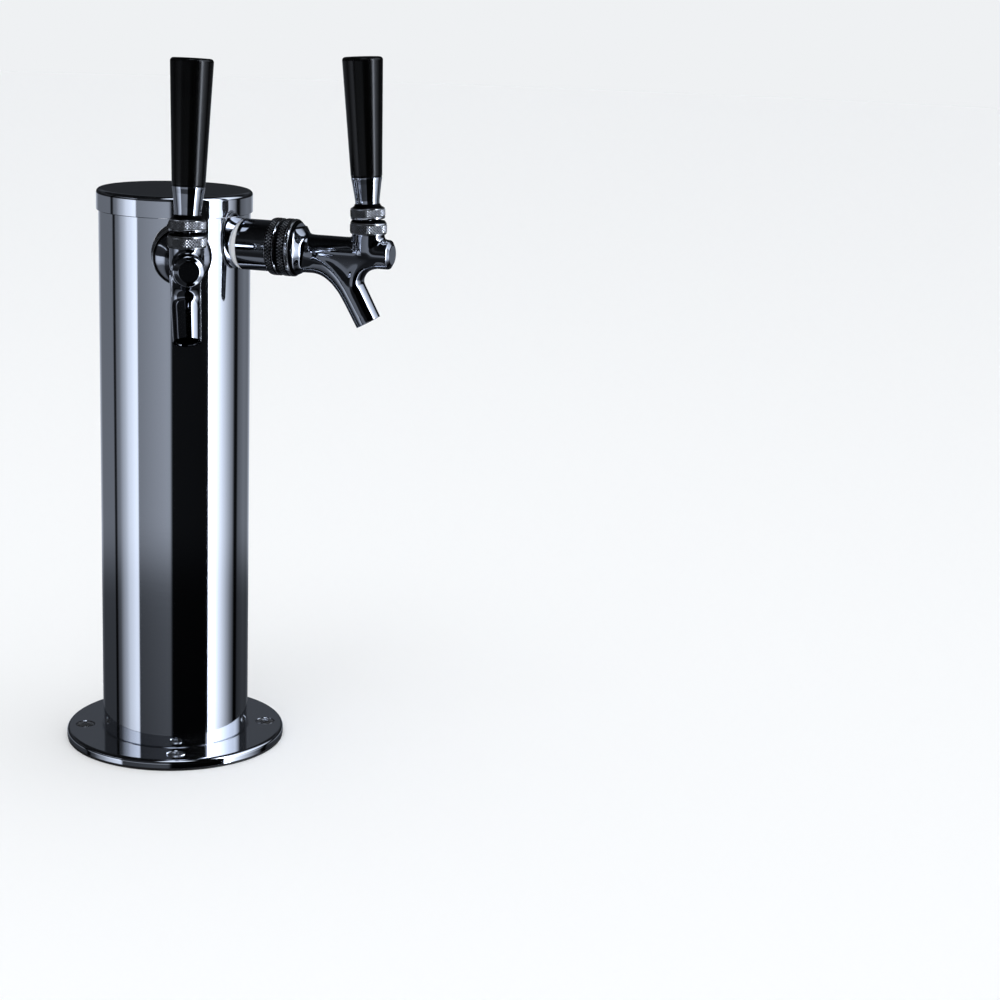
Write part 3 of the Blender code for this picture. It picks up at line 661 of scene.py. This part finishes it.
# %% Coupling nuts
NUT = 14.4
NUT_CHAMBER = 12.7
NUT_END = NUT_START + 13.5
BANDS = ((54.5, 58.2), (60.6, 64.6))
for side in SIDES:
    outline = [(SHANK_HOLE, NUT_START), (NUT - 1.0, NUT_START), (NUT - 0.35, BANDS[0][0] - 0.2)]
    outline += knurl_rows(NUT, *BANDS[0], COARSE_DIAMOND)
    outline += [(NUT - 0.3, BANDS[0][1] + 0.15), (NUT - 0.1, BANDS[0][1] + 0.5),
                (NUT - 0.4, BANDS[0][1] + 0.9), (NUT - 1.2, BANDS[0][1] + 1.2),
                (NUT - 1.2, BANDS[1][0] - 0.6), (NUT - 0.5, BANDS[1][0] - 0.2)]
    outline += knurl_rows(NUT, *BANDS[1], COARSE_DIAMOND)
    outline += [(NUT - 0.35, BANDS[1][1] + 0.15), (NUT - 0.05, BANDS[1][1] + 0.6),
                (NUT - 0.15, BANDS[1][1] + 1.5), (NUT - 0.7, NUT_END - 0.7),
                (NUT - 1.4, NUT_END), (NUT_CHAMBER, NUT_END),
                (NUT_CHAMBER, NUT_START + 2), (SHANK_HOLE, NUT_START + 2)]
    nut = turn_on_lathe(outline, knurl_steps(NUT, COARSE_DIAMOND))
    # The nut's tips get half the painted shade; its grooves get dirt and full painted shade.
    for band in BANDS:
        press_diamonds(nut, NUT, *band, COARSE_DIAMOND, 0.5, 1.0)
    deliver(f"coupling_{side}", nut, tap_frame[side] @ along, knurled_chrome, "tower",
            "chrome", f"coupling_nut_{side}", smooth=radians(20))

# %% [markdown]
# ## The cast faucet body
#
# The body is one casting: a shoulder behind, a level tube that holds the valve shaft, a
# spout that sweeps down and forwards, and a neck for the lever. A pattern maker blends all
# these with generous fillets. Bevelling the lines where solids meet fails on shapes like
# these, so the shapes are overlapped as plain solids, shrink-wrapped into one skin of small
# even faces, and the skin is relaxed until the joins flow together. The bores are cut
# afterwards, so that their edges stay crisp.

# %% The blank shapes of the casting
TUBE = 7.4
TUBE_END = 115.0
SPOUT_LEAN = radians(30.5)
SPOUT_TIP = (105.0, -34.4)
NECK = 8.1
NECK_TOP = 10.2


def sweep(stations, sides=40):
    """An oval bar through stations of reach, height, heading, half height and half width."""
    work = bmesh.new()
    rings = []
    for reach, height, heading, tall, wide in stations:
        ring = bmesh.ops.create_circle(work, segments=sides, radius=1.0)["verts"]
        turn = Matrix.Rotation(-radians(heading), 4, "Y") @ Matrix.Rotation(pi / 2, 4, "Y")
        shape = Matrix.Diagonal((tall * MM, wide * MM, 1.0, 1.0))
        place = Matrix.Translation((reach * MM, 0, height * MM)) @ turn @ shape
        bmesh.ops.transform(work, matrix=place, verts=ring)
        rings.append(ring)
    for here, there in zip(rings, rings[1:]):
        lines = [line for line in work.edges
                 if all(vert in here for vert in line.verts)
                 or all(vert in there for vert in line.verts)]
        bmesh.ops.bridge_loops(work, edges=lines)
    for ring in (rings[0], rings[-1]):
        bmesh.ops.contextual_create(work, geom=ring)
    bmesh.ops.recalc_face_normals(work, faces=work.faces)
    return work


def belly():
    """The round back of the casting, from the shoulder down to the spout's tip."""
    return sweep([(67.9, -1.6, 0, 10.2, 9.0), (72.0, -2.3, 0, 9.8, 7.9),
                  (76.5, -2.6, -4, 9.4, 7.3), (82.0, -4.2, -20, 8.9, 7.2),
                  (87.2, -7.6, -40, 8.2, 7.2), (91.5, -12.0, -53, 7.5, 7.2),
                  (95.2, -17.0, -58, 7.0, 7.1), (98.6, -22.8, -59.5, 6.8, 6.95),
                  (102.0, -29.0, -59.5, 6.7, 6.8), (106.2, -36.5, -59.5, 6.6, 6.6)])


def crotch():
    """The rounded ridge in the fork, from under the plug down to the front of the spout."""
    fork, bend, ridge, half = (109.2, -15.2), 7.6, 4.2, 6.8
    stations = []
    for turn in range(95, 206, 11):
        reach = fork[0] + (bend + ridge) * cos(radians(turn))
        height = fork[1] + (bend + ridge) * sin(radians(turn))
        stations.append((reach, height, turn + 90, ridge, half))
    # Its lower end grows into the full round of the spout.
    stations += [(99.6, -23.3, 299, 4.9, half), (100.8, -26.2, 300.5, 5.7, half),
                 (102.6, -30.4, 300.5, 6.6, 6.75)]
    return sweep(stations)


def web():
    """The recessed panel between the tube, the belly and the crotch."""
    outline = [(72, 0), (74, -4), (84, -8), (92, -16), (97.5, -25), (100.5, -22), (98.8, -13),
               (104, -5), (110, 0)]
    work = bmesh.new()
    points = [work.verts.new((x * MM, -1.0 * MM, z * MM)) for x, z in outline]
    face = work.faces.new(points)
    out = bmesh.ops.extrude_face_region(work, geom=[face])["geom"]
    far = [item for item in out if isinstance(item, bmesh.types.BMVert)]
    bmesh.ops.translate(work, verts=far, vec=(0, 2.0 * MM, 0))
    for vert in work.verts:
        vert.co.y *= 7.2 + vert.co.z / MM * 0.08      # the draft that frees it from its mould
    bmesh.ops.recalc_face_normals(work, faces=work.faces)
    return work


# %% Shrink-wrap the casting and relax it
VOXEL = 0.42            # mm, the size of the skin's faces
RELAX_ROUNDS = 36       # more rounds make larger fillets
shoulder = NUT_END + 0.3
flare = [(NUT - 0.6, shoulder + 0.3), (9.6, shoulder + 3.3),
         *arc((11.4, shoulder + 6.8), 4.0, radians(232), radians(180), 6)]


def shrink_wrap(work, voxel):
    """One even skin over everything in a working mesh."""
    blank = as_object(work, "blank")
    wrap = blank.modifiers.new("wrap", "REMESH")
    wrap.mode = "VOXEL"
    wrap.voxel_size = voxel * MM
    return modified(blank)


def faucet_casting():
    """The outside of the faucet body, in its tap's frame."""
    blank = turn_on_lathe([(0, shoulder), (NUT - 0.5, shoulder), *flare, (TUBE, TUBE_END + 2),
                           (0, TUBE_END + 2)], 96)
    blank.transform(along)
    extras = [belly(), crotch(), web()]
    neck = turn_on_lathe([(0, 0), (NECK, 0), (NECK, 12.0), (0, 12.0)], 96)
    extras.append(moved(neck, Matrix.Translation((lever_reach, 0, 0))))
    for extra in extras:
        mesh = bpy.data.meshes.new("extra")
        extra.to_mesh(mesh)
        extra.free()
        blank.from_mesh(mesh)
        bpy.data.meshes.remove(mesh)
    skin = shrink_wrap(blank, VOXEL)
    for _ in range(RELAX_ROUNDS):
        bmesh.ops.smooth_vert(skin, verts=skin.verts, factor=0.5, use_axis_x=True,
                              use_axis_y=True, use_axis_z=True)
    return skin


def trim(work, point, direction):
    """Saw off everything beyond a plane and close the cut."""
    cut = bmesh.ops.bisect_plane(work, geom=work.verts[:] + work.edges[:] + work.faces[:],
                                 plane_co=point, plane_no=direction, clear_outer=True)
    edges = [item for item in cut["geom_cut"] if isinstance(item, bmesh.types.BMEdge)]
    bmesh.ops.contextual_create(work, geom=edges)
    return work


# %% Cut the bores and deliver the bodies
# The skin is sawn flat at both ends, the neck and the spout's tip. A stub that enters the nut
# and a spigot that enters the bonnet are joined on. Then the shaft's bore, the outlet and the
# ball's socket are cut.
SPOUT_BORE = 5.0
for side in SIDES:
    body = faucet_casting()
    body = trim(body, (TUBE_END * MM, 0, 0), (1, 0, 0))
    body = trim(body, ((shoulder + 0.15) * MM, 0, 0), (-1, 0, 0))
    body = trim(body, (lever_reach, 0, NECK_TOP * MM), (0, 0, 1))
    spout_down = Vector((sin(SPOUT_LEAN), 0, -cos(SPOUT_LEAN)))
    tip = Vector((SPOUT_TIP[0] * MM, 0, SPOUT_TIP[1] * MM))
    body = trim(body, tip, spout_down)
    bmesh.ops.recalc_face_normals(body, faces=body.faces)
    stub = turn_on_lathe([(0, 61.6), (12.4, 61.6), (12.4, shoulder + 0.5), (0, shoulder + 0.5)],
                         64)
    spigot = turn_on_lathe([(0, 9.5), (7.6, 9.5), (7.6, 13), (0, 13)], 64)
    body = combine(body, moved(stub, along), "UNION")
    body = combine(body, moved(spigot, Matrix.Translation((lever_reach, 0, 0))), "UNION")
    shaft_bore = turn_on_lathe([(0, 60), (6.1, 60), (6.1, 74.5), (4.8, 74.5), (4.8, 112),
                                (5.3, 112), (5.3, TUBE_END + 1), (0, TUBE_END + 1)], 64)
    body = combine(body, moved(shaft_bore, along))
    outlet = turn_on_lathe([(0, -4), (SPOUT_BORE + 0.3, -4), (SPOUT_BORE + 0.3, 0.0),
                            (SPOUT_BORE, 0.4), (SPOUT_BORE, 36), (0, 36)], 64)
    body = combine(body, moved(outlet, Matrix.Translation(tip)
                               @ Matrix.Rotation(-SPOUT_LEAN, 4, "Y")))
    socket = turn_on_lathe([(0, 0), (5.2, 0), (5.2, 5.5), (6.7, 5.5), (6.7, 14), (0, 14)], 48)
    body = combine(body, moved(socket, Matrix.Translation((lever_reach, 0, 0))))
    deliver(f"faucet_cast_{side}", body, tap_frame[side], cast_chrome, "tower", "chrome",
            f"faucet_body_{side}", smooth=radians(35))

# %% [markdown]
# ## Plug and bonnet
#
# A chamfered plug closes the front of the tube. The bonnet screws down over the lever's
# ball; it is knurled, so that it can be tightened by hand, and its top edge is chamfered to
# let the collar swing over it. Both are spun, in the same way as the nut.

# %% Front plugs
PLUG_FACE = 117.0
for side in SIDES:
    plug = turn_on_lathe([(0, 112.3), (5.0, 112.3), (5.0, TUBE_END + 0.02),
                          (6.9, TUBE_END + 0.02), (7.1, TUBE_END + 0.2), (7.1, TUBE_END + 0.6),
                          (6.85, TUBE_END + 0.85), (5.35, PLUG_FACE - 0.3),
                          (5.05, PLUG_FACE - 0.1), (4.6, PLUG_FACE), (0, PLUG_FACE)], 96)
    deliver(f"plug_{side}", plug, tap_frame[side] @ along, turned_chrome, "tower", "chrome",
            f"front_plug_{side}")

# %% Bonnets
BONNET = 9.2
BONNET_BAND = (10.35, 14.55)
for side in SIDES:
    outline = [(7.9, 9.75), (8.7, 9.75), (8.95, 10.0),
               *knurl_rows(BONNET, *BONNET_BAND, FINE_DIAMOND),
               (8.95, 14.8), (8.6, 15.6), (8.1, 16.2), (6.2, 16.2), (5.6, 15.3), (7.0, 15.3),
               (7.0, 14.0), (7.9, 13.3)]
    bonnet = turn_on_lathe(outline, knurl_steps(BONNET, FINE_DIAMOND))
    # The grooves get dirt and painted shade; the tips stay clean.
    press_diamonds(bonnet, BONNET, *BONNET_BAND, FINE_DIAMOND, 0.0, 0.8)
    over_lever = tap_frame[side] @ Matrix.Translation((lever_reach, 0, 0))
    deliver(f"bonnet_knurled_{side}", bonnet, over_lever, knurled_chrome, "tower", "chrome",
            f"bonnet_{side}", smooth=radians(20))

# %% [markdown]
# ## Lever, collar, ferrule and knob
#
# Everything that moves with the handle is made in the lever's own frame, with the ball at
# its origin, because that is where the joint turns it. The knurled collar locks the handle
# to the lever's thread. The ferrule is a chrome cone that flares up to meet the knob, and
# the knob is a plain tapered grip with a rounded crown.

# %% Levers
BALL = 5.7
LEVER_NECK = 2.4
STEM = 1.7
THREAD = 4.5
TIP_REACH = 12.0
for side in SIDES:
    first = -pi / 2 + atan2(STEM, sqrt(BALL ** 2 - STEM ** 2))
    last = pi / 2 - atan2(LEVER_NECK, sqrt(BALL ** 2 - LEVER_NECK ** 2))
    ball = arc((0, 0), BALL, first, last, 28)
    lever = turn_on_lathe([(0, -TIP_REACH - 1.0), (0.9, -TIP_REACH - 0.8), (1.4, -TIP_REACH),
                           *ball, (LEVER_NECK, 8.4), (THREAD, 9.2), (THREAD, 44), (0, 44)], 48)
    deliver(f"lever_turned_{side}", lever, lever_frame[side], turned_chrome, f"lever_{side}",
            "chrome", f"lever_{side}")

# %% Lever collars
COLLAR = 8.7
COLLAR_BAND = (7.2, 10.9)
for side in SIDES:
    outline = [(8.0, 6.1), (8.3, 6.1), (8.5, 6.35), (8.5, 7.0),
               *knurl_rows(COLLAR, *COLLAR_BAND, FINE_DIAMOND),
               (8.4, 11.2), (8.0, 11.55), *arc((8.6, 13.9), 2.4, radians(250), radians(194), 6),
               (6.2, 13.3), (THREAD + 0.1, 13.3), (THREAD + 0.1, 8.9), (7.2, 8.9), (7.7, 8.0)]
    collar = turn_on_lathe(outline, knurl_steps(COLLAR, FINE_DIAMOND))
    # The grooves get dirt and painted shade; the tips stay clean.
    press_diamonds(collar, COLLAR, *COLLAR_BAND, FINE_DIAMOND, 0.0, 0.8)
    deliver(f"collar_knurled_{side}", collar, lever_frame[side], knurled_chrome,
            f"lever_{side}", "chrome", f"lever_collar_{side}", smooth=radians(20))

# %% Ferrules and knobs
FERRULE = (13.35, 26.5)
KNOB_TOP = 84.2
KNOB_ROUND = 1.6
for side in SIDES:
    ferrule = turn_on_lathe([(THREAD + 0.1, FERRULE[0]), (5.8, FERRULE[0]), (6.0, 13.6),
                             (6.05, 15.0), (6.3, 17.0), (7.2, 23.4), (7.6, 25.6),
                             (7.65, FERRULE[1] - 0.15), (7.5, FERRULE[1]),
                             (THREAD + 0.1, FERRULE[1])], 128)
    deliver(f"ferrule_{side}", ferrule, lever_frame[side], turned_chrome, f"lever_{side}",
            "chrome", f"handle_ferrule_{side}")
    crown = arc((9.9 - KNOB_ROUND, KNOB_TOP - KNOB_ROUND), KNOB_ROUND, radians(-2), pi / 2, 10)
    knob = turn_on_lathe([(0, 44.3), (THREAD + 0.1, 44.3), (THREAD + 0.1, 26.55), (7.4, 26.55),
                          (7.65, 26.9), (7.75, 27.5), *crown, (5.0, KNOB_TOP + 0.1),
                          (0, KNOB_TOP + 0.15)], 128)
    deliver(f"knob_{side}", knob, lever_frame[side], phenolic, f"lever_{side}",
            "black_plastic", f"handle_knob_{side}")

# %% [markdown]
# ## Parts out of sight
#
# The parts inside the column and inside the faucets keep the plain shapes of the working
# model, because little shows of them even with the cap off. A smooth copy of each would only
# make the file heavier, but each gets the finish of its real material.

# %% Finish the parts out of sight
finish_of_node = {entry["node"]: SLOT_FINISH[entry["material_slot"]]
                  for entry in frame["record"]["subparts"]}
for name, part in frame["nodes"].items():
    part.data.materials.clear()
    part.data.materials.append(finish_of_node[name])
print(len(frame["nodes"]), "parts of the working model have the finish of their own material")

# %% [markdown]
# ## The studio
#
# Polished metal has no look of its own: it shows the studio. Stylists surround such a tower
# with a dark room and a few tall lights, so that each light draws one clean bright stripe
# down the column and the black between the stripes gives it its roundness. Panels could be
# built as meshes, but they would get in the way when the camera moves, so the world below is
# that studio, written as brightness against direction. Only reflections see it. The floor
# and the sky that the camera sees are pale and plain.

# %% The studio around the tower, by direction
# Angles are in degrees to the camera's right of the direction back to the camera.
# Each stop is an angle and a brightness. The walls are dim and the strip lights are bright.
WALLS = ((-180, 0.5), (-165, 0.5), (-150, 0.17), (-109, 0.18), (-107, 0.01), (-103, 0.01),
         (-101, 0.16), (-64, 0.22), (-40, 0.28), (-12, 0.36), (-8, 0.34), (-5, 0.006),
         (51, 0.005), (57, 0.2), (97, 0.2), (104, 0.005), (110, 0.005), (114, 0.12),
         (132, 0.2), (150, 0.17), (165, 0.5), (180, 0.5))
LIGHTS = ((-180, 0), (-102, 0), (-95, 0.05), (-88, 0.27), (-82, 0.42), (-76, 0.68), (-70, 0.8),
          (-64.5, 0.93), (-59.5, 0.97), (-58, 0), (52, 0), (53.5, 11.0), (59, 11.0), (61.5, 2.0),
          (66, 1.4), (71, 1.1), (79, 0.72), (87, 0.4), (96, 0.12), (104, 0), (180, 0))
# By height, each stop is a slope (the sine of the angle above level) and a share of the above.
WALL_HEIGHTS = ((-0.5, 0.08), (-0.3, 0.26), (-0.285, 0.3), (-0.262, 1.0), (-0.09, 1.0),
                (-0.065, 0.1), (0.02, 0.05), (0.12, 0.05), (0.25, 0.1), (0.3, 0.14),
                (0.4, 0.14), (0.46, 0.05), (1.0, 0.02))
LEFT_HEIGHTS = ((-0.45, 0.25), (-0.34, 1.0), (-0.09, 1.0), (-0.065, 0.03), (0.32, 0.03),
                (0.33, 1.0), (0.375, 1.0), (0.385, 0.0))
RIGHT_HEIGHTS = ((-0.45, 0.2), (-0.34, 1.0), (0.62, 1.0), (0.75, 0.3), (0.85, 0.0))
# A third, wider light hangs high on the right and draws the highlights on rounded shoulders.
HIGH_LIGHT = ((-180, 0), (48, 0), (52, 1.2), (110, 1.0), (125, 0), (180, 0))
HIGH_HEIGHTS = ((-1, 0), (0.22, 0), (0.3, 1.0), (0.7, 1.0), (0.85, 0))
# A small panel hangs over the camera and lights what is tilted up towards it.
OVERHEAD = ((-180, 0), (-32, 0), (-22, 1.4), (22, 1.4), (32, 0), (180, 0))
OVERHEAD_HEIGHTS = ((-1, 0), (0.8, 0), (0.85, 1.0), (0.97, 1.0), (1, 0.4))
STUDIO_TINT = (0.89, 0.97, 1.12, 1.0)      # daylight lamps, a little blue
PALE = "#F4F5F6"
SKY = "#EFF1F3"         # as bright as the lit floor at the horizon, so that no line shows


def graph(tree, value, stops, low, high):
    """A ramp that reads stops of (value, brightness) between two ends, and its peak."""
    peak = max(level for _, level in stops)
    share = add(tree, "ShaderNodeMapRange", {"From Min": low, "From Max": high},
                {"Value": value})
    node = add(tree, "ShaderNodeValToRGB", links={0: share.outputs[0]})
    ramp = node.color_ramp
    ramp.elements.remove(ramp.elements[1])
    for number, (at, level) in enumerate(stops):
        spot = (at - low) / (high - low)
        stop = ramp.elements[0] if number == 0 else ramp.elements.new(spot)
        stop.position = spot
        stop.color = (level / peak, level / peak, level / peak, 1.0)
    scaled = add(tree, "ShaderNodeMath", {"operation": "MULTIPLY", 1: peak},
                 {0: node.outputs[0]})
    return scaled.outputs[0]


def build_world():
    """Pale for the camera, a striped studio for reflections, soft and even for the rest."""
    world = bpy.data.worlds.new("studio")
    world.use_nodes = True
    bpy.context.scene.world = world
    tree = world.node_tree
    tree.nodes.clear()
    ray = add(tree, "ShaderNodeTexCoord").outputs["Generated"]
    turned = add(tree, "ShaderNodeVectorRotate",
                 {"rotation_type": "Z_AXIS", "Angle": pi / 2 - CAMERA_TURN}, {"Vector": ray})
    parts = add(tree, "ShaderNodeSeparateXYZ", links={0: turned.outputs[0]})
    bearing = add(tree, "ShaderNodeMath", {"operation": "ARCTAN2"},
                  {0: parts.outputs["Y"], 1: parts.outputs["X"]})
    turn = add(tree, "ShaderNodeMath", {"operation": "MULTIPLY", 1: 180 / pi},
               {0: bearing.outputs[0]}).outputs[0]
    slope = parts.outputs["Z"]
    to_right_side = add(tree, "ShaderNodeMath", {"operation": "GREATER_THAN", 1: 0.0}, {0: turn})
    heights = add(tree, "ShaderNodeMix", {"data_type": "FLOAT"},
                  {0: to_right_side.outputs[0],
                   2: graph(tree, slope, LEFT_HEIGHTS, -1, 1),
                   3: graph(tree, slope, RIGHT_HEIGHTS, -1, 1)})
    walls = add(tree, "ShaderNodeMath", {"operation": "MULTIPLY"},
                {0: graph(tree, turn, WALLS, -180, 180),
                 1: graph(tree, slope, WALL_HEIGHTS, -1, 1)})
    strips = add(tree, "ShaderNodeMath", {"operation": "MULTIPLY_ADD"},
                 {0: graph(tree, turn, LIGHTS, -180, 180), 1: heights.outputs[0],
                  2: walls.outputs[0]})
    high = add(tree, "ShaderNodeMath", {"operation": "MULTIPLY_ADD"},
               {0: graph(tree, turn, HIGH_LIGHT, -180, 180),
                1: graph(tree, slope, HIGH_HEIGHTS, -1, 1), 2: strips.outputs[0]})
    brightness = add(tree, "ShaderNodeMath", {"operation": "MULTIPLY_ADD"},
                     {0: graph(tree, turn, OVERHEAD, -180, 180),
                      1: graph(tree, slope, OVERHEAD_HEIGHTS, -1, 1), 2: high.outputs[0]})
    studio = add(tree, "ShaderNodeBackground", {"Color": STUDIO_TINT},
                 {"Strength": brightness.outputs[0]})
    even = add(tree, "ShaderNodeBackground", {"Color": linear(PALE), "Strength": 1.08})
    seen = add(tree, "ShaderNodeBackground", {"Color": linear(SKY), "Strength": 1.0})
    path = add(tree, "ShaderNodeLightPath")
    for_metal = add(tree, "ShaderNodeMixShader", links={0: path.outputs["Is Glossy Ray"],
                                                        1: even.outputs[0],
                                                        2: studio.outputs[0]})
    final = add(tree, "ShaderNodeMixShader", links={0: path.outputs["Is Camera Ray"],
                                                    1: for_metal.outputs[0],
                                                    2: seen.outputs[0]})
    add(tree, "ShaderNodeOutputWorld", links={"Surface": final.outputs[0]})


build_world()
print("the studio is made of", len(bpy.context.scene.world.node_tree.nodes), "nodes")

# %% The floor and a soft light for its shadow
FLOOR_RADIUS = 6.0      # metres, so far that its edge fades into the sky
LAMP_PLACE = (-0.9, -0.6, 1.9)
LAMP_AIM = Vector((0, 0, 0.1))
floor_mesh = bpy.data.meshes.new("floor")
floor_work = bmesh.new()
bmesh.ops.create_circle(floor_work, cap_ends=True, segments=96, radius=FLOOR_RADIUS)
floor_work.to_mesh(floor_mesh)
floor_work.free()
floor = bpy.data.objects.new("floor", floor_mesh)
bpy.context.scene.collection.objects.link(floor)
floor_finish, _, floor_shader, _ = new_finish("pale_paper_floor")
floor_shader.inputs["Base Color"].default_value = linear("#F6F7F8")
floor_shader.inputs["Roughness"].default_value = 0.9
floor_mesh.materials.append(floor_finish)
floor.visible_glossy = False

lamp = bpy.data.lights.new("soft_overhead", "AREA")
lamp.shape = "DISK"
lamp.size = 1.2
lamp.energy = 6.0
light = bpy.data.objects.new("soft_overhead", lamp)
bpy.context.scene.collection.objects.link(light)
light.location = LAMP_PLACE
light.rotation_euler = (LAMP_AIM - light.location).to_track_quat("-Z", "Y").to_euler()
light.visible_glossy = False
print("floor", 2 * FLOOR_RADIUS, "m across, lamp of", lamp.energy, "W")
